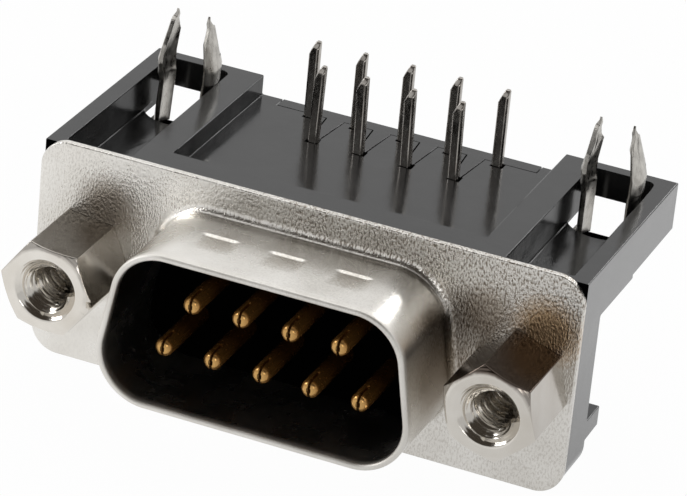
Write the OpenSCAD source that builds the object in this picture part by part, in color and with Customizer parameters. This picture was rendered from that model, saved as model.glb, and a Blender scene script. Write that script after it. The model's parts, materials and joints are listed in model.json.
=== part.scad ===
// Nine-way right-angle D-sub board connector, plug half, lying with its solder tails upwards.
// X runs along the flange, +Y from the mating face to the back, +Z from the floor to the board.
// The origin is the middle of the connector's box, on the floor that the flange stands on.

/* [Metal shell] */
// Band of the flange above and below the D
flange_band = 2.12; // [1.9:0.02:2.6]
// Corner radius of the flange
flange_r = 1.6; // [1.2:0.1:2.2]
// Thickness of the drawn sheet
sheet_t = 0.35; // [0.3:0.05:0.5]
// Distance from the side of the D to the middle of a screwlock
screw_off = 4.035; // [3.9:0.005:4.5]
// Distance from the middle of a screwlock to the end of the flange
screw_edge = 2.905; // [2.8:0.005:3.3]
// Clearance of the screwlock studs in the flange
stud_room = 0.26; // [0.2:0.02:0.6]

/* [Mating skirt] */
// Distance from the end pin of the wide row to the side of the D
d_beside = 2.92; // [2.8:0.02:3.2]
// Distance from a row of pins to the D's nearest wall
d_above = 2.76; // [2.6:0.02:3]
// Slant of each side of the D, in degrees
d_slant = 10; // [6:1:12]
// Inside corner radius of the D
d_r = 2.6; // [2.1:0.1:3]
// Length of the skirt in front of the flange
skirt_len = 6; // [5.6:0.1:7]
// Radius of the bend where the skirt meets the flange, on its outer side
bend_r = 0.45; // [0.3:0.05:0.7]
// Width of each grounding dimple on the narrow side of the skirt
dimple_w = 1.85; // [1.5:0.05:2.6]
// Length of each dimple along the skirt
dimple_len = 1.4; // [1:0.1:1.8]
// Depth of each dimple
dimple_depth = 0.2; // [0.1:0.05:0.25]
// Distance between dimples
dimple_pitch = 3.76; // [3:0.02:4]

/* [Contacts] */
// Distance between contacts in a row
pitch = 2.77; // [2.7:0.01:2.8]
// Distance between the two rows of mating pins
row_gap = 2.84; // [2.7:0.02:2.9]
// Diameter of a mating pin
pin_d = 1.02; // [0.9:0.02:1.1]
// Depth of the pin tips inside the skirt's mouth
pin_inside = 1.2; // [0.8:0.1:2]
// Width of a solder tail across the row
tail_w = 0.6; // [0.5:0.05:0.65]
// Thickness of a solder tail
tail_t = 0.5; // [0.4:0.05:0.55]
// Distance from the flange face to the front row of tails
tail_front = 10.3; // [10:0.1:11]
// Distance between the two rows of tails
tail_gap = 2.84; // [2.7:0.02:3]
// Length of the tails above the board seat
tail_len = 3.35; // [2.8:0.05:4]
// Inside radius of the bend from pin to tail
tail_bend = 0.6; // [0.4:0.05:0.8]

/* [Housing] */
// Back face of the black plate behind the flange, from the flange's front
plate_back = 3.15; // [2.8:0.05:3.6]
// Back face of the ledge over the centre block, from the flange's front
ledge_back = 2.6; // [2:0.05:2.8]
// Reach of the D boss in front of the flange's face
boss_front = 0.1; // [0.05:0.05:0.3]
// Drop from the flange's upper edge to the board seat
seat_drop = 0.27; // [0.1:0.01:0.5]
// Drop from the board seat to the top of the centre block
block_drop = 1.13; // [0.8:0.01:1.4]
// Lift of the centre block's underside above the flange's lower edge
block_lift = 1.7; // [1:0.05:2]
// Wall behind the back row of tails
rear_wall = 1.2; // [1:0.05:1.6]
// Height of an arm at its back end
arm_h = 2.75; // [2.6:0.05:3]
// Extra height of an arm in front of its step
arm_step = 0.28; // [0.2:0.02:0.4]
// Place of that step, back from the flange's front
arm_step_y = 8; // [7:0.1:9]
// Wall between an arm's pocket and the centre block
arm_wall = 1.7; // [1.4:0.05:1.8]
// Width of the pocket in an arm
pocket_w = 3.7; // [3.5:0.05:3.9]
// Front end of the pocket, back from the flange's front
pocket_front = 0.95; // [0.9:0.05:2]
// Depth of the pocket below the board seat
pocket_depth = 2.03; // [1.6:0.01:2.2]
// Bridge that closes the pocket at its back end
bridge_t = 0.75; // [0.6:0.05:1]
// Height of that bridge
bridge_h = 1.62; // [1.2:0.02:1.9]
// Corner radius at the back of the pocket
pocket_r = 0.45; // [0.3:0.05:0.7]
// Clearance round a boardlock's prongs
lock_room = 0.6; // [0.45:0.05:0.7]

/* [Locking comb] */
// Housing left beside the comb's bar
comb_inset = 1.295; // [1:0.005:1.5]
// Height of the comb
comb_h = 2; // [1.5:0.1:2.2]
// Width of a finger at its tip
finger_tip_w = 0.44; // [0.4:0.02:0.5]
// Width of a finger at the bar
finger_root_w = 1; // [0.8:0.02:1.1]
// Clearance of the contacts and the comb in the housing
fit = 0.07; // [0.04:0.01:0.1]

/* [Screwlocks] */
// Width across flats of the screwlock
hex_af = 4.75; // [4.5:0.05:5]
// Length of the hexagon
hex_len = 4.8; // [4.4:0.1:5.6]
// Diameter of the thread at both ends
thread_d = 2.84; // [2.6:0.02:2.9]
// Height of the thread in the screwlock's hole
thread_h = 0.1; // [0.06:0.01:0.18]
// Depth of the countersink at the hole's mouth
sink = 0.555; // [0.3:0.005:0.6]
// Width of the chamfer on the hexagon's front corners, at its flats
face_inset = 0.225; // [0.15:0.005:0.3]
// Solid left between the threaded hole and the flange
hole_end = 0.6; // [0.5:0.1:1.2]
// Width across flats of the captive nut
nut_af = 3.9; // [3.8:0.05:4.6]
// Thickness of the captive nut
nut_t = 1.4; // [1.2:0.1:2.4]
// Reach of the stud past the nut
stud_past_nut = 0.4; // [0.2:0.1:0.8]

/* [Boardlocks] */
// Thickness of the boardlock sheet
lock_t = 0.25; // [0.2:0.01:0.35]
// Outside radius of the two prongs below their barbs
lock_r = 1.6; // [1.5:0.02:1.7]
// Swell of the barbs past that radius
barb_out = 0.15; // [0.1:0.01:0.2]
// Drop of the tips inside that radius
tip_in = 0.52; // [0.4:0.02:0.7]
// Height of the barbs above the board seat
barb_h = 1.05; // [0.8:0.05:1.6]
// Length of the prongs above the board seat
prong_len = 3.87; // [3.4:0.01:4.4]
// Half the angle that each prong wraps round the hole
prong_wrap = 40; // [34:1:44]
// Width of the ground strap
strap_w = 3.9; // [3.7:0.05:4.2]

/* [Hidden] */
$fn = 48;
eps = 0.01;
ARC_STEPS = 7;
flange_lap = 0.3;
CONTACTS = 9;
LONG_ROW = 5;

TIN = "silver";
BLACK = "#1c1c1f";
GOLD = "#c9a24a";
NICKEL = "#d8d6cf";

// The D, the flange round it and the places of the screwlocks
d_w = (LONG_ROW - 1) * pitch + 2 * d_beside;
d_h = row_gap + 2 * d_above;
screw_x = d_w / 2 + screw_off;
flange_w = 2 * (screw_x + screw_edge);
flange_h = d_h + 2 * flange_band;
flange_hole_d = thread_d + stud_room;
// Distances from the flange's front face, back along Y
pin_len = skirt_len - pin_inside;
tail_back = tail_front + tail_gap;
body_back = tail_back + rear_wall;
lock_y = (tail_front + tail_back) / 2;
// Middle of the whole connector along Y
mid_y = (body_back - skirt_len) / 2;
// Heights above the mating axis
seat_h = flange_h / 2 - seat_drop;
block_low = block_lift - flange_h / 2;
block_top = seat_h - block_drop;
tail_tip = seat_h + tail_len;
prong_tip = seat_h + prong_len;
arm_low = seat_h - arm_h;
pocket_floor = seat_h - pocket_depth;
bridge_low = seat_h - bridge_h;
// Places along X
block_x = screw_x - pocket_w / 2 - arm_wall;
plate_inset = 0.03;
plate_x = flange_w / 2 - plate_inset;
comb_w = 2 * (block_x - comb_inset);
// Boardlock and screwlock
barb_r = lock_r + barb_out;
tip_r = lock_r - tip_in;
lock_hole_d = 2 * (lock_r + lock_room);
bore_d = thread_d - 2 * thread_h;
mouth_d = bore_d + 2 * sink;
thread_depth = hex_len - hole_end;

// Centres of the D's corner arcs: the wide side is low, the narrow side high
low_arc = [d_w / 2 - d_r, d_r - d_h / 2];
side_dir = [cos(d_slant), sin(d_slant)];
high_z = d_h / 2 - d_r;
high_arc = [(low_arc * side_dir - high_z * side_dir[1]) / side_dir[0], high_z];

// Puts what is drawn from the flange face and the mating axis onto the floor frame
module in_frame() translate([0, -mid_y, flange_h / 2]) children();

// A profile drawn in X and Z, extruded from y0 back to y1
module slab(y0, y1) translate([0, y1, 0]) rotate([90, 0, 0]) linear_extrude(y1 - y0) children();

// A box given by its low and high corners
module box(low, high) translate(low) cube(high - low);

// A profile drawn in Y and Z, extruded along X by len about the middle
module across(len) rotate([90, 0, 90]) linear_extrude(len, center = true) children();

module both_sides() {
    children();
    mirror([1, 0, 0]) children();
}

module round_rect(w, h, r) {
    square([w - 2 * r, h], center = true);
    square([w, h - 2 * r], center = true);
    for (sx = [-1, 1], sz = [-1, 1])
        translate([sx * (w / 2 - r), sz * (h / 2 - r)]) circle(r);
}

// The D outline, grown by grow
module d_face(grow) {
    r = d_r + grow;
    right = [low_arc + r * [0, -1], low_arc + r * side_dir, high_arc + r * side_dir, high_arc + r * [0, 1]];
    polygon(concat(right, [for (i = [3:-1:0]) [-right[i][0], right[i][1]]]));
    for (c = [low_arc, high_arc], s = [-1, 1])
        translate([s * c[0], c[1]]) circle(r);
}

// Points along an arc about c
function arc(c, r, from, to) = [for (k = [0:ARC_STEPS])
    let (a = from + (to - from) * k / ARC_STEPS) c + r * [cos(a), sin(a)]];

// Points of the D outline, grown by grow, anticlockwise from the wide side
function d_outline(grow) =
    let (right = concat(arc(low_arc, d_r + grow, -90, d_slant), arc(high_arc, d_r + grow, d_slant, 90)))
    concat(right, [for (k = [len(right) - 1:-1:0]) [-right[k][0], right[k][1]]]);

// Section of the drawn skirt: growth of the D against the distance in front of the flange
function skirt_section() =
    let (bend_c = [sheet_t + bend_r, bend_r], lip = sheet_t / 2, root = bend_c[0] + flange_lap)
    concat([[root, 0]], arc(bend_c, bend_r, 270, 180), arc([lip, skirt_len - lip], lip, 0, 180),
        arc(bend_c, bend_r + sheet_t, 180, 270), [[root, -sheet_t]]);

// Carries a closed section round the D
module d_loft(section) {
    rows = len(section);
    n = len(d_outline(0));
    polyhedron([for (s = section, p = d_outline(s[0])) [p[0], p[1], s[1]]],
        [for (i = [0:rows - 1], k = [0:n - 1])
            let (up = (i + 1) % rows, on = (k + 1) % n) [i * n + k, up * n + k, up * n + on, i * n + on]]);
}

// Pressed dimples, steep at the flange end and fading towards the mouth
module dimples(top, drop) {
    steep = 0.25;
    for (i = [-1:1]) translate([i * dimple_pitch, -skirt_len / 2, top]) across(dimple_w)
        polygon([[-dimple_len / 2, 0], [dimple_len / 2, 0], [dimple_len / 2 - steep, -drop],
            [-dimple_len / 4, -drop]]);
}

module front_shell() color(TIN) in_frame() {
    top = d_h / 2 + sheet_t;
    difference() {
        union() {
            rotate([90, 0, 0]) {
                translate([0, 0, -sheet_t]) linear_extrude(sheet_t) difference() {
                    round_rect(flange_w, flange_h, flange_r);
                    polygon(d_outline(sheet_t + bend_r + flange_lap / 2));
                    for (s = [-1, 1]) translate([s * screw_x, 0]) circle(d = flange_hole_d);
                }
                d_loft(skirt_section());
            }
            dimples(top - sheet_t + eps, dimple_depth);
        }
        dimples(top + eps, dimple_depth + eps);
    }
}

// Place of a contact: the wide row runs 1 to 5, the narrow row 6 to 9
function in_long_row(i) = i <= LONG_ROW;
function row_middle(i) = in_long_row(i) ? (LONG_ROW + 1) / 2 : (LONG_ROW + 1 + CONTACTS) / 2;
function contact_x(i) = (i - row_middle(i)) * pitch;
function contact_z(i) = (in_long_row(i) ? -1 : 1) * row_gap / 2;
function contact_y(i) = in_long_row(i) ? tail_back : tail_front;

module tail_section() {
    r = 0.15;
    round_rect(tail_w, tail_t, r);
}

// Pin of rolled strip, bent up behind the housing into a bevelled solder tail
module contact(i) {
    shaft_start = sheet_t;
    bend_c = tail_bend + tail_t / 2;
    tip_r = 0.36;
    seam_w = 0.12;
    seam_len = 1.3;
    bevel_h = 0.8;
    color(GOLD) in_frame() translate([contact_x(i), 0, contact_z(i)]) {
        difference() {
            rotate([90, 0, 0]) translate([0, 0, -shaft_start]) rotate_extrude() pin_section(tip_r, shaft_start);
            box([-seam_w / 2, -pin_len - eps, -pin_d], [seam_w / 2, -pin_len + seam_len, pin_d]);
        }
        translate([0, shaft_start, 0]) rotate([-90, 0, 0])
            linear_extrude(contact_y(i) - bend_c - shaft_start) tail_section();
        translate([0, contact_y(i) - bend_c, bend_c]) rotate([0, 90, 0]) rotate([0, 0, 90])
            rotate_extrude(angle = -90) translate([bend_c, 0]) rotate(90) tail_section();
        translate([0, contact_y(i), bend_c]) tail_riser(tail_tip - contact_z(i) - bend_c, bevel_h);
    }
}

module pin_section(tip_r, back) {
    len = pin_len + back;
    square([pin_d / 2, len - tip_r]);
    square([pin_d / 2 - tip_r, len]);
    intersection() {
        translate([pin_d / 2 - tip_r, len - tip_r]) circle(tip_r);
        square([pin_d, len + 1]);
    }
}

// Upright tail with a chisel point that leans to its right side
module tail_riser(len, bevel_h) {
    point_w = 0.28;
    difference() {
        linear_extrude(len) tail_section();
        translate([0, 0, len]) rotate([90, 0, 0]) linear_extrude(2 * tail_t, center = true)
            polygon([[-tail_w, eps], [-tail_w / 2 - eps, -bevel_h], [tail_w / 2 - point_w, eps]]);
        translate([0, 0, len]) across(2 * tail_w)
            polygon([[-tail_t, eps], [-tail_t / 2 - eps, -bevel_h / 2], [0, eps]]);
    }
}

module plate_face() round_rect(2 * plate_x, flange_h - 2 * plate_inset, flange_r - plate_inset);

// Insulator: plate, D boss, slotted centre block and the two arms on the board
module housing() color(BLACK) in_frame() difference() {
    union() {
        slab(sheet_t, plate_back) {
            intersection() {
                plate_face();
                translate([-flange_w, -flange_h]) square([2 * flange_w, flange_h + eps]);
            }
            translate([-plate_x, 0]) square([2 * plate_x, seat_h]);
        }
        slab(-boss_front, sheet_t + eps) d_face(-fit);
        box([-block_x, plate_back - eps, block_low], [block_x, body_back, block_top]);
        both_sides() {
            box([block_x - eps, plate_back - eps, arm_low], [plate_x, body_back, seat_h]);
            box([block_x - eps, plate_back - eps, arm_low - arm_step], [plate_x, arm_step_y, arm_low + eps]);
            corner_foot();
        }
    }
    both_sides() {
        arm_pocket();
        translate([screw_x, 0, 0]) rotate([-90, 0, 0]) cylinder(d = flange_hole_d, h = plate_back + 1);
    }
    box([-block_x, ledge_back, block_top], [block_x, plate_back + eps, seat_h + 1]);
    for (i = [1:CONTACTS]) contact_way(i);
    comb_shape(fit);
}

// Small foot at the lower corner of the plate
module corner_foot() {
    foot_w = 1.8;
    foot_len = 1.95;
    foot_lift = 1.95;
    foot_h = 1.15;
    foot_low = foot_lift - flange_h / 2;
    slab(plate_back - eps, plate_back + foot_len) intersection() {
        plate_face();
        translate([plate_x - foot_w, foot_low]) square([foot_w + 1, foot_h]);
    }
}

// Pocket from the board side, the clear hole round the boardlock and the way out at the back
module arm_pocket() {
    front = pocket_front;
    back = body_back - bridge_t;
    translate([screw_x, 0, pocket_floor]) linear_extrude(seat_h) {
        translate([-pocket_w / 2, front]) square([pocket_w, back - front - pocket_r]);
        translate([-pocket_w / 2 + pocket_r, front]) square([pocket_w - 2 * pocket_r, back - front]);
        for (s = [-1, 1]) translate([s * (pocket_w / 2 - pocket_r), back - pocket_r]) circle(pocket_r);
    }
    translate([screw_x, lock_y, arm_low - 1]) cylinder(d = lock_hole_d, h = pocket_floor - arm_low + 1 + eps);
    box([screw_x - lock_hole_d / 2, lock_y, arm_low - 1],
        [screw_x + lock_hole_d / 2, body_back + 1, bridge_low]);
}

// Bore for a pin, room for its bend, and the slot that its tail slides into from the back
module contact_way(i) {
    slot_w = tail_w + 2 * fit;
    slot_front = contact_y(i) - tail_t / 2 - fit;
    slot_low = contact_z(i) - tail_t / 2 - fit;
    bend_room = tail_bend + fit;
    shaft_d = norm([tail_w, tail_t]) + fit;
    translate([contact_x(i), 0, contact_z(i)]) {
        translate([0, -1, 0]) rotate([-90, 0, 0]) cylinder(d = pin_d + fit, h = 1 + sheet_t + fit);
        rotate([-90, 0, 0]) cylinder(d = shaft_d, h = slot_front + eps);
    }
    box([contact_x(i) - slot_w / 2, slot_front - bend_room, slot_low],
        [contact_x(i) + slot_w / 2, slot_front + eps, slot_low + tail_t + fit + bend_room]);
    if (in_long_row(i))
        box([contact_x(i) - slot_w / 2, slot_front, slot_low],
            [contact_x(i) + slot_w / 2, body_back + 1, block_top + 1]);
    else
        translate([contact_x(i), 0, slot_low]) linear_extrude(block_top + 1 - slot_low) {
            translate([-slot_w / 2, slot_front]) square([slot_w, tail_t + 2 * fit]);
            finger_face(fit, body_back + 1);
        }
}

// Outline of a comb finger, seen from the board, grown by grow, back to y_end
module finger_face(grow, y_end) {
    tip_y = tail_front + tail_t / 2 + fit;
    root_y = tail_back + tail_t / 2 + fit;
    tip = finger_tip_w / 2 + grow;
    root = finger_root_w / 2 + grow;
    polygon([[-tip, tip_y - grow], [tip, tip_y - grow], [root, root_y], [root, y_end], [-root, y_end],
        [-root, root_y]]);
}

// Bar behind the back row of tails, with a finger behind each tail of the front row
module comb_shape(grow) {
    bar_y = tail_back + tail_t / 2 + fit - grow;
    open = grow > 0 ? 1 : 0;
    low = block_top - comb_h - grow;
    half_w = comb_w / 2 + grow;
    box([-half_w, bar_y, low], [half_w, body_back + open, block_top + open]);
    for (i = [LONG_ROW + 1:CONTACTS]) translate([contact_x(i), 0, low])
        linear_extrude(comb_h + grow + open) finger_face(grow, bar_y + grow + eps);
}

module tail_comb() color(BLACK) in_frame() comb_shape(0);

// Turned blank whose 30 degree cone takes the corners off a hexagon's end
module chamfer_cone(end_d, len, reach)
    rotate_extrude()
        polygon([[0, 0], [reach, 0], [reach, len - (reach - end_d / 2) * tan(30)], [end_d / 2, len], [0, len]]);

// Hexagonal post with a threaded hole in front and a threaded stud behind
module screwlock(side, turn) color(NICKEL) in_frame() translate([side * screw_x, 0, 0]) rotate([90, 0, 0]) {
    corner_d = hex_af / cos(30);
    stud_len = plate_back + lock_t + nut_t + stud_past_nut;
    difference() {
        union() {
            intersection() {
                rotate(turn) cylinder(d = corner_d, h = hex_len, $fn = 6);
                chamfer_cone(hex_af - 2 * face_inset, hex_len, corner_d);
            }
            translate([0, 0, -stud_len]) cylinder(d = thread_d, h = stud_len + eps);
        }
        translate([0, 0, hex_len - thread_depth]) cylinder(d = bore_d, h = thread_depth + 1);
        translate([0, 0, hex_len]) rotate_extrude()
            polygon([[0, eps], [mouth_d / 2 + eps, eps], [bore_d / 2, -sink], [0, -sink]]);
    }
}

// Nut held behind the boardlock's foot
module captive_nut(side) color(NICKEL) in_frame()
    translate([side * screw_x, plate_back + lock_t, 0]) rotate([-90, 0, 0]) difference() {
        corner_d = nut_af / cos(30);
        intersection() {
            cylinder(d = corner_d, h = nut_t, $fn = 6);
            chamfer_cone(nut_af, nut_t, corner_d);
        }
        translate([0, 0, -1]) cylinder(d = thread_d + fit, h = nut_t + 2);
    }

// Foot behind the plate, ground strap under the arm and two barbed prongs, folded from one strip
module boardlock(side) color(NICKEL) in_frame() translate([side * screw_x, 0, 0]) {
    strap_top = arm_low - arm_step;
    strap_low = strap_top - lock_t;
    bend_in = 0.25;
    bend_out = bend_in + lock_t;
    foot_past_nut = 0.4;
    foot_low = -nut_af / 2 - foot_past_nut;
    fork_r = lock_r - lock_t / 2;
    fork_gap = 1.7 * fork_r;
    root_step = 0.05;
    difference() {
        union() {
            slab(plate_back, plate_back + lock_t)
                translate([-strap_w / 2, foot_low]) square([strap_w, strap_top - bend_out - foot_low]);
            box([-strap_w / 2, plate_back + bend_out, strap_low],
                [strap_w / 2, lock_y + lock_r / 2, strap_top]);
            translate([0, plate_back + bend_out, strap_top - bend_out]) across(strap_w) intersection() {
                difference() {
                    circle(bend_out);
                    circle(bend_in);
                }
                translate([-bend_out, 0]) square(bend_out);
            }
        }
        rotate([-90, 0, 0]) cylinder(d = flange_hole_d, h = plate_back + 1);
        translate([0, lock_y, strap_low - 1]) cylinder(r = fork_r, h = 2);
        box([-fork_gap / 2, lock_y, strap_low - 1], [fork_gap / 2, lock_y + 2 * lock_r, strap_top + 1]);
    }
    translate([0, lock_y, 0]) prongs(strap_low + root_step);
}

// Two leaves of a split tube that swell into barbs and narrow to sharp tips
module prongs(low) {
    barb_z = seat_h + barb_h;
    neck_drop = 0.2;
    neck_z = seat_h - neck_drop;
    swell_h = 0.4;
    shoulder = 0.6;
    tip_wrap = 2;
    wall = [[lock_r, low], [lock_r, neck_z], [barb_r - lock_t / 8, neck_z + swell_h], [barb_r, barb_z],
        [tip_r, prong_tip]];
    intersection() {
        rotate_extrude() polygon(concat(wall, [for (i = [len(wall) - 1:-1:0]) wall[i] - [lock_t, 0]]));
        for (s = [-1, 1]) leaf_wedge(s, [[low - 1, prong_wrap], [barb_z - lock_t, prong_wrap],
            [prong_tip - shoulder, prong_wrap / 2], [prong_tip + eps, tip_wrap]]);
    }
}

// Wedge about the tube's axis that keeps one leaf; each step gives a height and half its angle there
module leaf_wedge(side, steps) {
    near = lock_t;
    far = 2 * lock_r;
    last = 3 * (len(steps) - 1);
    points = [for (step = steps, turn = [0, -1, 1])
        let (a = turn * step[1], out = side * (turn == 0 ? near : far)) [out * cos(a), out * sin(a), step[0]]];
    polyhedron(points,
        concat([[0, 1, 2], [last + 2, last + 1, last]],
            [for (i = [0:3:last - 3], k = [0:2]) [i + k, i + 3 + k, i + (k + 1) % 3]],
            [for (i = [0:3:last - 3], k = [0:2]) [i + 3 + k, i + 3 + (k + 1) % 3, i + (k + 1) % 3]]));
}

front_shell();
housing();
tail_comb();
for (i = [1:CONTACTS]) contact(i);
screwlock(-1, -6);  // screwlock_left
screwlock(1, -18);  // screwlock_right
captive_nut(-1);  // captive_nut_left
captive_nut(1);  // captive_nut_right
boardlock(-1);  // boardlock_left
boardlock(1);  // boardlock_right
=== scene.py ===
import json
import math

import bpy
from mathutils import Matrix, Vector


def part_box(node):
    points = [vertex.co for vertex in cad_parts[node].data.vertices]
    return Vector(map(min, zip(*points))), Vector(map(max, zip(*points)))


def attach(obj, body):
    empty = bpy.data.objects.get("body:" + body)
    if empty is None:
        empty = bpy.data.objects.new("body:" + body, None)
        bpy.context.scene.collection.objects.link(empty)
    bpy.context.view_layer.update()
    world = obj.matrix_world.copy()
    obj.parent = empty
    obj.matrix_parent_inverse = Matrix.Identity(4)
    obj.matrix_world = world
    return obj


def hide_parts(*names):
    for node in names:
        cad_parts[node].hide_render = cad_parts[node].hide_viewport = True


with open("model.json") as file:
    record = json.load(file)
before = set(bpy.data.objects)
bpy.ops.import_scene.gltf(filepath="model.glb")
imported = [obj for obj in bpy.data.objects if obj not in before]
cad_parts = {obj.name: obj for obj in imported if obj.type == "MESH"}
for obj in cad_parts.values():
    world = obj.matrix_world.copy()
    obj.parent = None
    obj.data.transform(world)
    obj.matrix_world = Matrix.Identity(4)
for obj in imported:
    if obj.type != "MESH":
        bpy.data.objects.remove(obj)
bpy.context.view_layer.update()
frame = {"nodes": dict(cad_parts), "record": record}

MM = 0.001
BODY = "root"

# Thickness of the flange and its skirt, in millimetres
SHEET_T = 0.35

# Places that everything else is measured from
shell_low, shell_high = (Vector(corner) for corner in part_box("front_shell"))
FLANGE_Y = shell_high.y - SHEET_T * MM
AXIS_Z = (shell_low.z + shell_high.z) / 2
FACE = Vector((0, FLANGE_Y, AXIS_Z))


# Node trees ------------------------------------------------------------------------------------

SMOOTH = "SMOOTHSTEP"
FINE_BUMP = 0.01 * MM


class Nodes:
    """A node tree: each call adds one node, sets its plain values and links its sockets."""

    def __init__(self, tree):
        self.tree = tree

    def join(self, socket, value):
        if isinstance(value, bpy.types.Node):
            value = value.outputs[0]
        if isinstance(value, bpy.types.NodeSocket):
            self.tree.links.new(value, socket)
        else:
            socket.default_value = value

    def fill(self, node, **sockets):
        """Sockets go by name, with _ for a space, or by number after a first _."""
        for name, value in sockets.items():
            key = int(name[1:]) if name[0] == "_" else name.replace("_", " ")
            self.join(node.inputs[key], value)
        return node

    def add(self, kind, settings=None, **sockets):
        node = self.tree.nodes.new("ShaderNode" + kind)
        for name, value in (settings or {}).items():
            setattr(node, name, value)
        return self.fill(node, **sockets)

    def math(self, operation, a, b=0.0):
        return self.add("Math", {"operation": operation}, _0=a, _1=b)

    def product(self, value, *factors):
        for factor in factors:
            value = self.math("MULTIPLY", value, factor)
        return value

    def vector(self, operation, **sockets):
        return self.add("VectorMath", {"operation": operation}, **sockets)

    def split(self, vector):
        return self.add("SeparateXYZ", None, Vector=vector).outputs

    def spread(self, value, first, last, low=0.0, high=1.0, kind="LINEAR"):
        """Carries first..last to low..high, and holds it there beyond both ends."""
        return self.add("MapRange", {"interpolation_type": kind}, Value=value,
                        From_Min=first, From_Max=last, To_Min=low, To_Max=high)

    def ramp(self, fac, stops):
        node = self.add("ValToRGB", None, Fac=fac)
        elements = node.color_ramp.elements
        while len(elements) < len(stops):
            elements.new(0.5)
        for element, (place, shade) in zip(elements, stops):
            element.position = place
            element.color = shade if len(shade) == 4 else (*shade, 1)
        return node

    def blend(self, fac, a, b, kind="MIX"):
        node = self.add("Mix", {"data_type": "RGBA", "blend_type": kind}, Factor=fac, _6=a, _7=b)
        return node.outputs[2]

    def choose(self, fac, a, b):
        return self.add("MixShader", None, _0=fac, _1=a, _2=b)

    def bump(self, height, strength, distance=FINE_BUMP):
        return self.add("Bump", None, Strength=strength, Distance=distance, Height=height)


def grey(value):
    return (value, value, value, 1)


def empty_nodes(owner):
    """The node tree of a material or world, cleared."""
    owner.use_nodes = True
    owner.node_tree.nodes.clear()
    return Nodes(owner.node_tree)


def new_material(name):
    material = bpy.data.materials.new(name)
    nodes = empty_nodes(material)
    output = nodes.add("OutputMaterial")
    shader = nodes.add("BsdfPrincipled")
    nodes.join(output.inputs["Surface"], shader)
    return material, nodes, shader


def paint(thing, *materials):
    thing.data.materials.clear()
    for material in materials:
        thing.data.materials.append(material)


# Selecting -------------------------------------------------------------------------------------


def object_mode():
    bpy.ops.object.mode_set(mode="OBJECT")


def deselect_all():
    if bpy.context.object and bpy.context.object.mode != "OBJECT":
        object_mode()
    bpy.ops.object.select_all(action="DESELECT")


def select(*things):
    """Selects these objects alone, with the first one active."""
    deselect_all()
    for thing in things:
        thing.select_set(True)
    bpy.context.view_layer.objects.active = things[0]


# Camera, floor and light -----------------------------------------------------------------------

CAMERA_AZIMUTH = math.radians(20.64)
CAMERA_ELEVATION = math.radians(26.62)
CAMERA_ROLL = math.radians(5.657)
CAMERA_DISTANCE = 219.6 * MM
CAMERA_AIM = FACE + Vector((2.112, 0, 4.57)) * MM
CAMERA_LENS = 222.8
CAMERA_SENSOR = 36
CAMERA_CLIP = 0.01


def set_camera():
    data = bpy.data.cameras.new("camera")
    data.lens = CAMERA_LENS
    data.sensor_width = CAMERA_SENSOR
    data.clip_start = CAMERA_CLIP
    camera = bpy.data.objects.new("camera", data)
    bpy.context.collection.objects.link(camera)
    level = math.cos(CAMERA_ELEVATION)
    away = Vector((math.sin(CAMERA_AZIMUTH) * level, -math.cos(CAMERA_AZIMUTH) * level,
                   math.sin(CAMERA_ELEVATION)))
    turn = away.to_track_quat("Z", "Y").to_matrix() @ Matrix.Rotation(CAMERA_ROLL, 3, "Z")
    place = CAMERA_AIM + away * CAMERA_DISTANCE
    camera.matrix_world = Matrix.LocRotScale(place, turn.to_quaternion(), None)
    bpy.context.scene.camera = camera


FLOOR_SIZE = 4
FLOOR_GREY = 0.8
# Share of plain white in the floor as the camera sees it. The rest shows the shadow.
FLOOR_WHITE = 0.975
# Mirrored in the object, the floor dims from left to right, and is white behind it.
SHEEN_X = (-18 * MM, 12 * MM)
SHEEN_Y = (0.0, 15 * MM)
SHEEN_DIM = 0.75


def lay_floor():
    deselect_all()
    bpy.ops.mesh.primitive_plane_add(size=FLOOR_SIZE)
    floor = bpy.context.object
    floor.name = "floor"
    material = bpy.data.materials.new("pale_floor")
    nodes = empty_nodes(material)
    seen = nodes.add("LightPath")
    place = nodes.split(nodes.add("TexCoord").outputs["Object"])
    across = nodes.spread(place["X"], *SHEEN_X, 1.0, SHEEN_DIM, SMOOTH)
    behind = nodes.spread(place["Y"], *SHEEN_Y)
    dimmed = nodes.add("CombineColor", None, Red=across, Green=across, Blue=across)
    sheen = nodes.blend(behind, dimmed, grey(1))
    matt = nodes.add("BsdfDiffuse", None, Color=grey(FLOOR_GREY))
    glow = nodes.add("Emission", None, Color=grey(1), Strength=1.0)
    mirrored = nodes.add("Emission", None, Color=sheen, Strength=1.0)
    shown = nodes.choose(FLOOR_WHITE, matt, glow)
    rest = nodes.choose(seen.outputs["Is Glossy Ray"], matt, mirrored)
    pick = nodes.choose(seen.outputs["Is Camera Ray"], rest, shown)
    nodes.join(nodes.add("OutputMaterial").inputs["Surface"], pick)
    paint(floor, material)


# The studio is pale low down in front, dark above that and bright behind. Each pair of numbers is
# where a change begins and ends, as a share of the way along one axis.
STUDIO_ABOVE = (0.42, 0.58)
STUDIO_RIGHT = (-0.2, 0.7)
STUDIO_BACK = (-0.2, 0.25)
STUDIO_LOW_LEFT = grey(0.75)
STUDIO_LOW_RIGHT = grey(0.6)
STUDIO_DARK = (0.05, 0.042, 0.034, 1)
STUDIO_BEHIND = grey(0.92)


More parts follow.
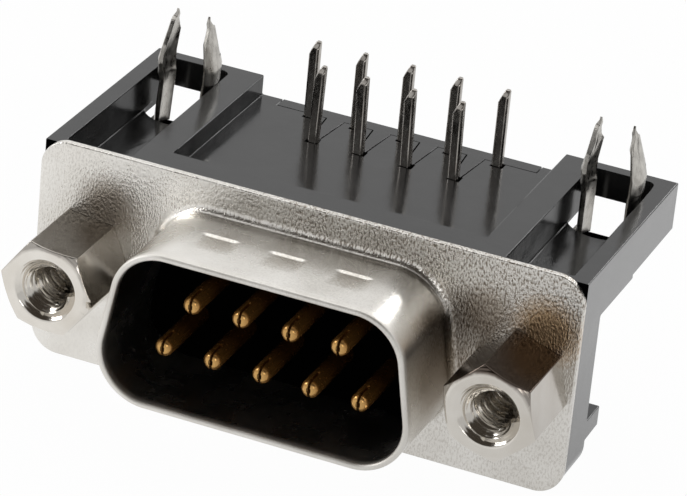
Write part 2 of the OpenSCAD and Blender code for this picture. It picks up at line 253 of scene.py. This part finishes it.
def light_world():
    world = bpy.data.worlds.new("studio")
    bpy.context.scene.world = world
    nodes = empty_nodes(world)
    seen = nodes.add("LightPath")
    toward = nodes.split(nodes.add("TexCoord").outputs["Generated"])
    above = nodes.spread(toward["Z"], *STUDIO_ABOVE, kind=SMOOTH)
    right = nodes.spread(toward["X"], *STUDIO_RIGHT, kind=SMOOTH)
    back = nodes.spread(toward["Y"], *STUDIO_BACK, kind=SMOOTH)
    low = nodes.blend(right, STUDIO_LOW_LEFT, STUDIO_LOW_RIGHT)
    front = nodes.blend(above, low, STUDIO_DARK)
    shade = nodes.blend(back, front, STUDIO_BEHIND)
    lit = nodes.add("Background", None, Color=shade, Strength=1.0)
    white = nodes.add("Background", None, Color=grey(1), Strength=1.0)
    pick = nodes.choose(seen.outputs["Is Camera Ray"], lit, white)
    nodes.join(nodes.add("OutputWorld").inputs["Surface"], pick)


# Name, place and side in metres, power in watts
SOFTBOXES = [
    ("softbox_over", (-0.25, 0.15, 0.45), 0.5, 0.5),
    ("softbox_back", (0.09, 0.42, 0.26), 0.1, 0.25),
    ("softbox_left", (-0.34, -0.1, 0.19), 0.12, 0.35),
    ("softbox_right", (0.2, -0.38, 0.13), 0.08, 0.1),
]


def add_softbox(name, place, side, power):
    data = bpy.data.lights.new(name, "AREA")
    data.shape = "RECTANGLE"
    data.size = side
    data.size_y = side
    data.energy = power
    lamp = bpy.data.objects.new(name, data)
    bpy.context.collection.objects.link(lamp)
    lamp.location = place
    lamp.rotation_euler = (FACE - lamp.location).to_track_quat("-Z", "Y").to_euler()


set_camera()
lay_floor()
light_world()
for softbox in SOFTBOXES:
    add_softbox(*softbox)

scene = bpy.context.scene
scene.view_settings.view_transform = "Standard"


# Shaping ---------------------------------------------------------------------------------------
# From here on, lengths are in millimetres. Pieces are shaped about the middle of
# the flange's front face, then settled to their size and place in metres.

RING_POINTS = 72
CLOSE = 1e-3
UPRIGHT = (math.pi / 2, 0, 0)


def edit(thing, test):
    """Edit mode, with the points that pass the test selected."""
    select(thing)
    bpy.ops.object.mode_set(mode="EDIT")
    bpy.ops.mesh.select_mode(type="VERT")
    bpy.ops.mesh.select_all(action="DESELECT")
    object_mode()
    for point in thing.data.vertices:
        point.select = test(point)
    bpy.ops.object.mode_set(mode="EDIT")


def every_point(point):
    return True


def shift(thing, test, step):
    """Moves the points that pass the test."""
    edit(thing, test)
    bpy.ops.transform.translate(value=step)
    object_mode()


def apply_place(thing):
    select(thing)
    bpy.ops.object.transform_apply()


def settle(thing):
    thing.scale = (MM, MM, MM)
    thing.location = FACE
    apply_place(thing)


def join(name, things):
    select(*things)
    bpy.ops.object.join()
    things[0].name = name
    things[0].data.name = name
    return things[0]


def apply_modifier(thing, kind, **settings):
    modifier = thing.modifiers.new(kind.lower(), kind)
    for name, value in settings.items():
        setattr(modifier, name, value)
    select(thing)
    bpy.ops.object.modifier_apply(modifier=modifier.name)


def smooth(thing, angle):
    select(thing)
    bpy.ops.object.shade_smooth_by_angle(angle=math.radians(angle))
    apply_modifier(thing, "WEIGHTED_NORMAL", keep_sharp=True, weight=100)


def arc(centre, radius, first, last, steps):
    turns = [math.radians(first + (last - first) * step / steps) for step in range(steps + 1)]
    return [(centre[0] + radius * math.cos(turn), centre[1] + radius * math.sin(turn)) for turn in turns]


def turn_of(point):
    """Angle of a point round the flange's middle, from -90 to 270 degrees."""
    return (math.degrees(math.atan2(point.co.z, point.co.x)) + 90) % 360 - 90


def ring(radius, corners):
    """A face in the flange's plane, its outline an arc about each corner (first and last angle, x, z)."""
    deselect_all()
    bpy.ops.mesh.primitive_circle_add(vertices=RING_POINTS, radius=radius, fill_type="NGON",
                                      rotation=(math.pi / 2, math.pi / RING_POINTS, 0))
    thing = bpy.context.object
    apply_place(thing)
    turns = [turn_of(point) for point in thing.data.vertices]
    for first, last, x, z in corners:
        shift(thing, lambda point: first < turns[point.index] < last, (x, 0, z))
    return thing


def carry(thing, section):
    """Insets the face along a section of (growth, reach forward) and then opens it."""
    edit(thing, every_point)
    for (growth, reach), (next_growth, next_reach) in zip(section, section[1:]):
        bpy.ops.mesh.inset(thickness=growth - next_growth, depth=next_reach - reach)
    bpy.ops.mesh.delete(type="ONLY_FACE")
    object_mode()


def fill_plane(thing, y):
    edit(thing, lambda point: abs(point.co.y - y) < CLOSE)
    bpy.ops.mesh.fill(use_beauty=True)
    object_mode()


# Metal shell -----------------------------------------------------------------------------------

# Flange: half its width, half its height, corner radius
FLANGE = (15.4, 6.3, 1.6)
FLANGE_EDGE = 0.1
FLANGE_EDGE_STEPS = 5
HOLE_R = 1.55
HOLE_POINTS = 48
SCREW_X = 12.495

# D of the skirt, inside, and the middles of its lower and upper corners
D_WIDE = 16.92
D_TALL = 8.36
D_R = 2.6
D_SLANT = 10
D_LOW_X = D_WIDE / 2 - D_R
D_Z = D_TALL / 2 - D_R
D_HIGH_X = D_LOW_X - 2 * D_Z * math.tan(math.radians(D_SLANT))

# Skirt, its bend out of the flange, and the rows of points that the dimples need
SKIRT = 6.0
SKIRT_BEND = 0.45
BEND_STEPS = 7
LIP_STEPS = 8
TOP_CUTS = 70
ROWS = [2.0 + 0.1 * row for row in range(24)]

# Dimples: middle to middle, width, where they begin and end in front of the flange, and the
# share of the sheet's thickness, from outside, in which points are pressed
DIMPLE_PITCH = 3.76
DIMPLE_WIDTH = 1.8
DIMPLE_FIRST = 2.3
DIMPLE_LAST = 4.1
DIMPLE_DEPTH = 0.06
DIMPLE_WALL = 0.1
PRESSED_SHARE = 0.8
DIMPLE_STEPS = 8

SHELL_SMOOTH_ANGLE = 50


def dimple_drop(point):
    """Depth of the pressed dimples: steep at the flange end, fading towards the mouth."""
    aside = DIMPLE_PITCH
    if abs(point.x) < DIMPLE_PITCH * 1.5:
        aside = abs((point.x + DIMPLE_PITCH / 2) % DIMPLE_PITCH - DIMPLE_PITCH / 2)
    reach = -point.y
    side = min(max((DIMPLE_WIDTH / 2 + DIMPLE_WALL - aside) / (2 * DIMPLE_WALL), 0), 1)
    rise = (reach - DIMPLE_FIRST) / DIMPLE_WALL
    fall = (DIMPLE_LAST - reach) / (DIMPLE_LAST - DIMPLE_FIRST - DIMPLE_WALL)
    return DIMPLE_DEPTH * min(side, max(min(rise, fall, 1), 0))


def gets_painted_shade(face):
    """Faces of the skirt that look into the D, with most of its lip, which get the black painted shade."""
    skirt_x = 9
    looks_in = -0.3
    lip_depth = 0.05
    lip_looks_out = 4.0
    outward = face.normal.x * face.center.x + face.normal.z * face.center.z
    on_skirt = abs(face.center.x) < skirt_x and face.center.y < SHEET_T - CLOSE
    on_lip = face.center.y < lip_depth - SKIRT
    return on_skirt and (outward < looks_in or (on_lip and outward < lip_looks_out))


def build_flange():
    """The rim of the flange, with its front edge rounded."""
    wide, high, corner = FLANGE
    x = wide - corner
    z = high - corner
    flange = ring(corner, [(-90, 0, x, -z), (0, 90, x, z), (90, 180, -x, z), (180, 270, -x, -z)])
    flange.location.y = SHEET_T
    apply_place(flange)
    edge = (-FLANGE_EDGE, -FLANGE_EDGE)
    carry(flange, [(0, -SHEET_T)] + arc(edge, FLANGE_EDGE, 0, 90, FLANGE_EDGE_STEPS))
    return flange


def build_skirt():
    """The skirt from its bend to its lip and back inside to the flange's back, with its dimples."""
    root = SHEET_T + SKIRT_BEND
    lip = SHEET_T / 2
    slant = D_SLANT
    skirt = ring(D_R + root, [(-90, slant, D_LOW_X, -D_Z), (slant, 90, D_HIGH_X, D_Z),
                              (90, 180 - slant, -D_HIGH_X, D_Z), (180 - slant, 270, -D_LOW_X, -D_Z)])
    top = max(point.co.z for point in skirt.data.vertices)
    edit(skirt, lambda point: point.co.z > top - CLOSE / 10)
    bpy.ops.mesh.subdivide(number_cuts=TOP_CUTS)
    bend = arc((root, SKIRT_BEND), SKIRT_BEND, 270, 180, BEND_STEPS)
    rim = arc((lip, SKIRT - lip), lip, 0, 180, LIP_STEPS)
    carry(skirt, bend + [(SHEET_T, row) for row in ROWS] + rim + [(0, -SHEET_T)])
    outer_wall = D_TALL / 2 + SHEET_T - SHEET_T * PRESSED_SHARE
    level = DIMPLE_DEPTH / DIMPLE_STEPS
    for step in range(DIMPLE_STEPS):
        shift(skirt, lambda point: point.co.z > outer_wall and dimple_drop(point.co) > (step + 0.5) * level,
              (0, 0, -level))
    return skirt


def build_hole(side):
    deselect_all()
    bpy.ops.mesh.primitive_cylinder_add(vertices=HOLE_POINTS, radius=HOLE_R, depth=SHEET_T,
                                        end_fill_type="NOTHING",
                                        location=(side * SCREW_X, SHEET_T / 2, 0), rotation=UPRIGHT)
    hole = bpy.context.object
    apply_place(hole)
    return hole


def build_shell():
    shell = join("front_shell_sheet", [build_flange(), build_skirt(), build_hole(-1), build_hole(1)])
    fill_plane(shell, 0)
    fill_plane(shell, SHEET_T)
    edit(shell, every_point)
    bpy.ops.mesh.normals_make_consistent(inside=False)
    object_mode()
    smooth(shell, SHELL_SMOOTH_ANGLE)
    for face in shell.data.polygons:
        # Faces looking into the D take the second material, the painted shade
        face.material_index = int(gets_painted_shade(face))
    settle(shell)
    return shell


# Copies of the solid pieces with rounded edges -------------------------------------------------

MERGE = 0.002
FLAT_ANGLE = 0.6
SMOOTH_ANGLE = 40

# Boardlock prongs: height of the tip that is drawn together, and its share of width left
TIP_HEIGHT = 0.3
TIP_SHARE = 0.45

# Height above which a piece leans, and how far: the left and right boardlocks, and the tails
LEFT_PRONGS_LEAN = (4.6, 0.18)
RIGHT_PRONGS_LEAN = (8.6, -0.12)
TAILS_LEAN_ABOVE = 7.5
TIP_LEANS = {"contact_6": 0.13, "contact_7": -0.17, "contact_8": -0.2, "contact_9": -0.17}
OTHER_TIPS_LEAN = -0.05

# Bevel width, least angle of a bevelled edge in degrees, segments
HOUSING_BEVEL = (0.07, 40, 2)
COMB_BEVEL = (0.02, 40, 1)
CONTACT_BEVEL = (0.06, 40, 2)
METAL_BEVEL = (0.05, 50, 2)

# Shortest edges that are bevelled, and the box of the contacts' slots and the comb, kept sharp
HOUSING_EDGE = 0.4
METAL_EDGE = 0.12
SLOTS_X = 7.8
SLOTS_Y = 9.4
SLOTS_Z = 6


def lean(thing, above, aside):
    """Moves the points above a height sideways."""
    shift(thing, lambda point: point.co.z > above, (aside, 0, 0))


def sharpen_prongs(thing):
    """Draws each prong's tip together to a blunt point."""
    middle = SCREW_X if thing.data.vertices[0].co.x > 0 else -SCREW_X
    low = max(point.co.z for point in thing.data.vertices) - TIP_HEIGHT
    for side in (-1, 1):
        def in_tip(point):
            return point.co.z > low and (point.co.x - middle) * side > 0

        tip = [point.co.copy() for point in thing.data.vertices if in_tip(point)]
        centre = sum(tip, Vector()) / len(tip)
        edit(thing, in_tip)
        bpy.ops.transform.resize(value=(TIP_SHARE, TIP_SHARE, 1), center_override=centre)
        object_mode()


def shape_boardlock(thing):
    sharpen_prongs(thing)
    on_left = thing.data.vertices[0].co.x < 0
    lean(thing, *(LEFT_PRONGS_LEAN if on_left else RIGHT_PRONGS_LEAN))


def every_edge(a, b):
    return True


def long_edge(a, b):
    return (a - b).length > METAL_EDGE


def outside_ways(a, b):
    """Long edges away from the contacts' slots and the comb."""
    middle = (a + b) / 2
    in_slots = abs(middle.x) < SLOTS_X and middle.y > SLOTS_Y and middle.z < SLOTS_Z
    return (a - b).length > HOUSING_EDGE and not in_slots


def is_sharp(normals, angle):
    """Whether an edge parts just two faces, at more than the angle."""
    return (len(normals) == 2 and normals[0].length and normals[1].length
            and normals[0].angle(normals[1]) > math.radians(angle))


def weigh_edges(mesh, angle, keep):
    """Marks for the bevel the sharp edges that pass the test keep."""
    normals = {}
    for face in mesh.polygons:
        for key in face.edge_keys:
            normals.setdefault(key, []).append(face.normal.copy())
    name = "bevel_weight_edge"
    weights = mesh.attributes.get(name) or mesh.attributes.new(name, "FLOAT", "EDGE")
    for line in mesh.edges:
        pair = normals.get(tuple(sorted(line.vertices)), [])
        a, b = (mesh.vertices[index].co for index in line.vertices)
        weights.data[line.index].value = float(bool(is_sharp(pair, angle) and keep(a, b)))


def soft_copy(node, bevel, keep, reshape):
    """A merged copy of a node with a small bevel on its sharp edges that pass the test keep."""
    width, angle, segments = bevel
    source = frame["nodes"][node]
    thing = source.copy()
    thing.data = source.data.copy()
    thing.name = node + "_moulded"
    thing.data.name = thing.name
    bpy.context.collection.objects.link(thing)
    thing.parent = None
    thing.matrix_world = Matrix.Scale(1 / MM, 4) @ Matrix.Translation(-FACE) @ source.matrix_world
    apply_place(thing)
    edit(thing, every_point)
    bpy.ops.mesh.remove_doubles(threshold=MERGE)
    bpy.ops.mesh.dissolve_limited(angle_limit=math.radians(FLAT_ANGLE))
    bpy.ops.mesh.normals_make_consistent(inside=False)
    object_mode()
    if reshape:
        reshape(thing)
    weigh_edges(thing.data, angle, keep)
    apply_modifier(thing, "BEVEL", width=width, segments=segments, limit_method="WEIGHT",
                   use_clamp_overlap=False, miter_outer="MITER_ARC")
    smooth(thing, SMOOTH_ANGLE)
    settle(thing)
    return thing


def settings_of(node):
    """Bevel, edge test and reshaping of a node's copy."""
    if node == "housing":
        return HOUSING_BEVEL, outside_ways, None
    if node == "tail_comb":
        return COMB_BEVEL, every_edge, None
    if node.startswith("contact"):
        aside = TIP_LEANS.get(node, OTHER_TIPS_LEAN)
        return CONTACT_BEVEL, every_edge, lambda thing: lean(thing, TAILS_LEAN_ABOVE, aside)
    return METAL_BEVEL, long_edge, shape_boardlock if node.startswith("boardlock") else None


# Thread ----------------------------------------------------------------------------------------

THREAD_PITCH = 0.635
THREAD_TURNS = 6
THREAD_STEPS = 48
THREAD_R = 1.33
THREAD_START_Y = -0.65
THREAD_MERGE = 0.0005
# Half the ridge's size, across the hole's wall and along the hole
THREAD_RIDGE = (0.26, 0.29, 1)


def build_thread(side):
    """The ridge of the thread in a screwlock's hole: a coil, half of it sunk in the wall."""
    deselect_all()
    bpy.ops.mesh.primitive_circle_add(vertices=4, radius=1, fill_type="NOTHING", rotation=UPRIGHT)
    thing = bpy.context.object
    thing.scale = THREAD_RIDGE
    apply_place(thing)
    thing.location.x = THREAD_R
    apply_place(thing)
    apply_modifier(thing, "SCREW", axis="Z", angle=2 * math.pi, screw_offset=THREAD_PITCH,
                   iterations=THREAD_TURNS, steps=THREAD_STEPS, render_steps=THREAD_STEPS,
                   use_smooth_shade=True)
    edit(thing, every_point)
    bpy.ops.mesh.remove_doubles(threshold=THREAD_MERGE)
    bpy.ops.mesh.fill_holes(sides=4)
    bpy.ops.mesh.normals_make_consistent(inside=False)
    object_mode()
    thing.name = "screw_thread_left" if side < 0 else "screw_thread_right"
    thing.data.name = thing.name
    thing.rotation_euler = UPRIGHT
    thing.location = (side * SCREW_X, THREAD_START_Y, 0)
    apply_place(thing)
    smooth(thing, SMOOTH_ANGLE)
    settle(thing)
    return thing


# Finishes --------------------------------------------------------------------------------------
# Places are in millimetres from the middle of the flange's front face, as above. NOISE is the
# part of a noise's range that its values mostly fall in.

NOISE = (0.3, 0.7)
GRAIN_STRETCH = (1.0, 1.0, 0.5)
SLOW_DENSITY = 0.35


def in_flange_frame(nodes):
    """The place on the object in millimetres from the middle of the flange's front face."""
    away = nodes.vector("SUBTRACT", _0=nodes.add("TexCoord").outputs["Object"], _1=tuple(FACE))
    return nodes.vector("SCALE", _0=away, Scale=1 / MM)


def facing(nodes):
    return nodes.split(nodes.add("NewGeometry").outputs["Normal"])


def grain_group():
    """Noise of two sizes: a fine upright grain, and slow patches."""
    tree = bpy.data.node_groups.new("grain", "ShaderNodeTree")
    tree.interface.new_socket("Place", in_out="INPUT", socket_type="NodeSocketVector")
    tree.interface.new_socket("Size", in_out="INPUT", socket_type="NodeSocketFloat")
    tree.interface.new_socket("Height", in_out="OUTPUT", socket_type="NodeSocketFloat")
    tree.interface.new_socket("Shade", in_out="OUTPUT", socket_type="NodeSocketFloat")
    nodes = Nodes(tree)
    entry = tree.nodes.new("NodeGroupInput")
    stretched = nodes.vector("MULTIPLY", _0=entry.outputs["Place"], _1=GRAIN_STRETCH)
    density = nodes.math("DIVIDE", 1.0, entry.outputs["Size"])
    fine = nodes.add("TexNoise", None, Vector=stretched, Scale=density, Detail=2.0, Roughness=0.55)
    slow = nodes.add("TexNoise", None, Vector=entry.outputs["Place"], Scale=SLOW_DENSITY, Detail=3.0)
    nodes.fill(tree.nodes.new("NodeGroupOutput"), Height=fine, Shade=slow)
    return tree


GRAIN = grain_group()


def add_grain(nodes, place, size):
    """Height and Shade of the grain at a place, for grains of a size."""
    return nodes.add("Group", {"node_tree": GRAIN}, Place=place, Size=size).outputs


# Tin on the shell. Specks and grain are on the flange's flat, more so high up and to the right.
TIN_GRAIN = 0.1
TIN_BUMP = 0.04 * MM
TIN_ROUGHNESS = (0.22, 0.32)
TIN_FLAT_Y = (-0.3, -0.02)
TIN_FLAT_SHARE = (0.15, 1.0)
SPECKS_Z = (1.0, 5.5)
SPECKS_Z_SHARE = (0.3, 1.0)
SPECKS_X = (-7.0, 1.5)
SPECKS_X_SHARE = (0.2, 1.0)
TIN_TINTS = [(0.3, (0.68, 0.655, 0.61)), (0.7, (0.8, 0.78, 0.74))]
SPECK_TINTS = [(0.38, (0.36, 0.32, 0.28)), (0.52, grey(1))]
LIP_Y = (-5.4, -5.8)
LIP_ROUGHNESS = 0.25

# Patches multiplied into the plating's colour: middle, reach, colour. Some are painted shade and one is a
# painted highlight. The last ones are the dimples' floors, in painted shade.
PATCHES_AND_PAINTED_LIGHT = [
    # Darker, browner flange above the screwlocks
    ((13.6, 0.0, 3.0), 2.2, (0.78, 0.52, 0.27, 1)),
    ((-11.3, 0.0, 3.2), 2.1, (0.42, 0.37, 0.32, 1)),
    ((10.2, 0.0, 3.2), 1.8, (0.6, 0.54, 0.48, 1)),
    # Painted shade on the skirt's right flank and its upper right corner
    ((9.0, -2.2, 0.0), 3.6, (0.4, 0.34, 0.28, 1)),
    ((9.1, -1.3, 2.4), 2.4, (0.24, 0.2, 0.16, 1)),
    # Painted highlight where the skirt's upper left bends out of the flange
    ((-7.0, 0.0, 4.4), 1.8, (1.2, 1.2, 1.2, 1)),
    # Painted shade on the dimples' floors
    ((-DIMPLE_PITCH, -3.0, 4.3), 1.1, (0.8, 0.78, 0.75, 1)),
    ((0.0, -3.0, 4.3), 1.1, (0.8, 0.78, 0.75, 1)),
    ((DIMPLE_PITCH, -3.0, 4.3), 1.1, (0.8, 0.78, 0.75, 1)),
]
PATCH_RAGGED = 1.6
PATCH_EDGE = 0.9
PATCH_CORE = 0.4
PATCH_SHARE = 0.85


def tin_plating():
    material, nodes, shader = new_material("tin_plating")
    place = in_flange_frame(nodes)
    parts = nodes.split(place)
    grain = add_grain(nodes, place, TIN_GRAIN)
    flat = nodes.spread(parts["Y"], *TIN_FLAT_Y, *TIN_FLAT_SHARE, SMOOTH)
    high = nodes.spread(parts["Z"], *SPECKS_Z, *SPECKS_Z_SHARE, SMOOTH)
    right = nodes.spread(parts["X"], *SPECKS_X, *SPECKS_X_SHARE, SMOOTH)
    tint = nodes.ramp(grain["Shade"], TIN_TINTS)
    specks = nodes.ramp(grain["Height"], SPECK_TINTS)
    colour = nodes.blend(nodes.product(high, right, flat), tint, specks, "MULTIPLY")
    # Each patch multiplies the colour: painted shade, a painted highlight, or a darker tint
    for middle, reach, patch_tint in PATCHES_AND_PAINTED_LIGHT:
        away = nodes.vector("DISTANCE", _0=place, _1=middle).outputs["Value"]
        ragged = nodes.math("ADD", away, nodes.product(grain["Height"], PATCH_RAGGED))
        patch = nodes.spread(ragged, reach + PATCH_EDGE, reach * PATCH_CORE + PATCH_EDGE)
        colour = nodes.blend(nodes.product(patch, PATCH_SHARE), colour, patch_tint, "MULTIPLY")
    rough = nodes.spread(grain["Shade"], *NOISE, *TIN_ROUGHNESS)
    lip = nodes.spread(parts["Y"], *LIP_Y, 0.0, LIP_ROUGHNESS)
    nodes.fill(shader, Base_Color=colour, Metallic=1.0, Roughness=nodes.math("ADD", rough, lip),
               Normal=nodes.bump(grain["Height"], flat, TIN_BUMP))
    return material


# Painted shade: the shell's inside and most of its lip are near black and without gloss.
INSIDE_GRAIN = 0.2
PAINTED_SHADE_TINTS = [(0.3, grey(0.001)), (0.7, grey(0.002))]
INSIDE_ROUGHNESS = 0.6


def painted_shade_inside():
    material, nodes, shader = new_material("painted_shade_inside")
    grain = add_grain(nodes, in_flange_frame(nodes), INSIDE_GRAIN)
    shade = nodes.ramp(grain["Shade"], PAINTED_SHADE_TINTS)
    nodes.fill(shader, Base_Color=shade, Roughness=INSIDE_ROUGHNESS, Specular_IOR_Level=0.0)
    return material


# Black plastic. Walls that face right are given less gloss as painted shade, but for the end of the right
# arm, which is painted lighter grey with full gloss as painted light.
# The boss in the shell's mouth, in front of MOUTH_Y, is painted plain black without gloss, as painted
# shade.
MOUTH_Y = 0.4
WALL_FACING = 0.8
ARM_END_X = 15.0
PLASTIC_GRAIN = 0.25
PLASTIC_TINTS = [(0.3, grey(0.008)), (0.7, grey(0.014))]
PLASTIC_ROUGHNESS = (0.12, 0.2)
PLASTIC_GLOSS = 0.55
PLASTIC_WAVES = 6.0
PLASTIC_BUMP = 0.3
WALL_PAINTED_SHADE = 0.42
ARM_END_PAINTED_LIGHT = grey(0.12)
MOUTH_PAINTED_SHADE = grey(0.001)


def black_plastic():
    material, nodes, shader = new_material("black_plastic")
    place = in_flange_frame(nodes)
    parts = nodes.split(place)
    grain = add_grain(nodes, place, PLASTIC_GRAIN)
    # Painted shade: in front of MOUTH_Y the plastic is plain black without gloss
    mouth = nodes.math("LESS_THAN", parts["Y"], MOUTH_Y)
    wall = nodes.math("GREATER_THAN", facing(nodes)["X"], WALL_FACING)
    end = nodes.product(wall, nodes.math("GREATER_THAN", parts["X"], ARM_END_X))
    plain = nodes.ramp(grain["Shade"], PLASTIC_TINTS)
    # The right arm's end is painted lighter grey as painted light
    shade = nodes.blend(mouth, nodes.blend(end, plain, ARM_END_PAINTED_LIGHT), MOUTH_PAINTED_SHADE)
    # Walls facing right lose gloss as painted shade
    wall_shade = nodes.product(nodes.math("SUBTRACT", wall, end), WALL_PAINTED_SHADE)
    gloss = nodes.math("SUBTRACT", nodes.spread(end, 0.0, 1.0, PLASTIC_GLOSS, 1.0), wall_shade)
    waves = nodes.math("ADD", nodes.product(grain["Shade"], PLASTIC_WAVES), grain["Height"])
    nodes.fill(shader, Base_Color=shade, Roughness=nodes.spread(grain["Shade"], *NOISE, *PLASTIC_ROUGHNESS),
               Specular_IOR_Level=nodes.product(gloss, nodes.math("SUBTRACT", 1.0, mouth)),
               Normal=nodes.bump(waves, PLASTIC_BUMP))
    return material


# Nickel on the screwlocks: turned rings in the countersink, and a painted dark brown reflection on the
# upper facets, more so on the right hex. The countersink is where the normal's Y is within CONE_SPAN of
# CONE_FACING.
NICKEL_GRAIN = 0.3
NICKEL_TINTS = [(0.3, (0.62, 0.58, 0.52)), (0.7, (0.74, 0.71, 0.66))]
NICKEL_ROUGHNESS = (0.1, 0.2)
NICKEL_BUMP = 0.35
NICKEL_HEIGHT = 0.8
RING_DENSITY = 40.0
RING_HEIGHT = 0.8
CONE_FACING = -0.75
CONE_SPAN = 0.2
REFLECTION_FACING = (0.1, 0.4)
REFLECTION_SHARE = (0.4, 0.95)
REFLECTION_R = 2.2
PAINTED_DARK_REFLECTION = (0.09, 0.065, 0.05, 1)


def bright_nickel():
    material, nodes, shader = new_material("bright_nickel")
    place = in_flange_frame(nodes)
    parts = nodes.split(place)
    grain = add_grain(nodes, place, NICKEL_GRAIN)
    aside = nodes.math("SUBTRACT", nodes.math("ABSOLUTE", parts["X"]), SCREW_X)
    flat = nodes.add("CombineXYZ", None, X=aside, Z=parts["Z"])
    radius = nodes.vector("LENGTH", _0=flat).outputs["Value"]
    rings = nodes.math("SINE", nodes.product(radius, RING_DENSITY))
    normal = facing(nodes)
    from_cone = nodes.math("ABSOLUTE", nodes.math("SUBTRACT", normal["Y"], CONE_FACING))
    cone = nodes.math("LESS_THAN", from_cone, CONE_SPAN)
    upward = nodes.spread(normal["Z"], *REFLECTION_FACING)
    right = nodes.spread(parts["X"], -SCREW_X, SCREW_X, *REFLECTION_SHARE)
    outside = nodes.math("GREATER_THAN", radius, REFLECTION_R)
    bright = nodes.ramp(grain["Shade"], NICKEL_TINTS)
    height = nodes.math("ADD", nodes.product(rings, nodes.product(cone, RING_HEIGHT)),
                        nodes.product(grain["Height"], NICKEL_HEIGHT))
    # Upward facets outside the countersink take the painted dark reflection, more on the right
    nodes.fill(shader, Base_Color=nodes.blend(nodes.product(upward, right, outside), bright, PAINTED_DARK_REFLECTION),
               Metallic=1.0, Roughness=nodes.spread(grain["Height"], *NOISE, *NICKEL_ROUGHNESS),
               Normal=nodes.bump(height, NICKEL_BUMP))
    return material


BRASS_GRAIN = 0.3
BRASS_FINE_GRAIN = 0.08
BRASS_TINTS = [(0.35, (0.34, 0.325, 0.3)), (0.7, (0.58, 0.56, 0.52))]
BRASS_ROUGHNESS = (0.22, 0.4)
BRASS_BUMP = 0.5


def tinned_brass():
    material, nodes, shader = new_material("tinned_brass")
    place = in_flange_frame(nodes)
    grain = add_grain(nodes, place, BRASS_GRAIN)
    fine = add_grain(nodes, place, BRASS_FINE_GRAIN)
    shade = nodes.ramp(grain["Height"], BRASS_TINTS)
    nodes.fill(shader, Base_Color=shade, Metallic=1.0,
               Roughness=nodes.spread(grain["Height"], *NOISE, *BRASS_ROUGHNESS),
               Normal=nodes.bump(fine["Height"], BRASS_BUMP))
    return material


# Contacts: gold, painted darker into the mouth as painted shade, and tin behind the flange
CONTACT_GRAIN = 0.18
CONTACT_ROUGHNESS = (0.15, 0.28)
CONTACT_BUMP = 0.3
TIN_FROM_Y = (0.5, 2.0)
PAINTED_SHADE_Y = (-4.9, -2.2)
SHAFT_Y = (-5.0, -4.7)
SHAFT_METAL = 0.72
GOLD_AND_PAINTED_SHADE_TINTS = [(0.0, (0.68, 0.42, 0.15)), (0.12, (0.42, 0.2, 0.05)), (1.0, (0.1, 0.04, 0.01))]
TAIL_TINTS = [(0.35, (0.3, 0.275, 0.25)), (0.65, (0.42, 0.4, 0.37))]


def contact_plating():
    material, nodes, shader = new_material("contact_plating")
    place = in_flange_frame(nodes)
    parts = nodes.split(place)
    grain = add_grain(nodes, place, CONTACT_GRAIN)
    back = nodes.spread(parts["Y"], *TIN_FROM_Y)
    # Painted shade: the gold darkens to brown and near black deeper in the mouth
    gold = nodes.ramp(nodes.spread(parts["Y"], *PAINTED_SHADE_Y), GOLD_AND_PAINTED_SHADE_TINTS)
    shaft = nodes.spread(parts["Y"], *SHAFT_Y, 1.0, SHAFT_METAL)
    tin = nodes.ramp(grain["Height"], TAIL_TINTS)
    nodes.fill(shader, Base_Color=nodes.blend(back, gold, tin), Metallic=nodes.math("MAXIMUM", shaft, back),
               Roughness=nodes.spread(grain["Height"], *NOISE, *CONTACT_ROUGHNESS),
               Normal=nodes.bump(grain["Height"], CONTACT_BUMP))
    return material


# Pieces ----------------------------------------------------------------------------------------

TIN = tin_plating()
NICKEL = bright_nickel()
FINISHES = {
    "tin_plated_steel": TIN,
    "black_thermoplastic": black_plastic(),
    "contact_plating": contact_plating(),
    "nickel_plating": NICKEL,
    "tinned_brass_strip": tinned_brass(),
}

slots = {row["node"]: row["material_slot"] for row in frame["record"]["subparts"]}
for name, thing in frame["nodes"].items():
    paint(thing, FINISHES[slots[name]])

shell = build_shell()
paint(shell, TIN, painted_shade_inside())
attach(shell, BODY)
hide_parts("front_shell")

for node in slots:
    if node == "front_shell" or node.startswith("captive_nut"):
        continue
    piece = soft_copy(node, *settings_of(node))
    paint(piece, FINISHES[slots[node]])
    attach(piece, BODY)
    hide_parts(node)

for side in (-1, 1):
    thread = build_thread(side)
    paint(thread, NICKEL)
    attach(thread, BODY)
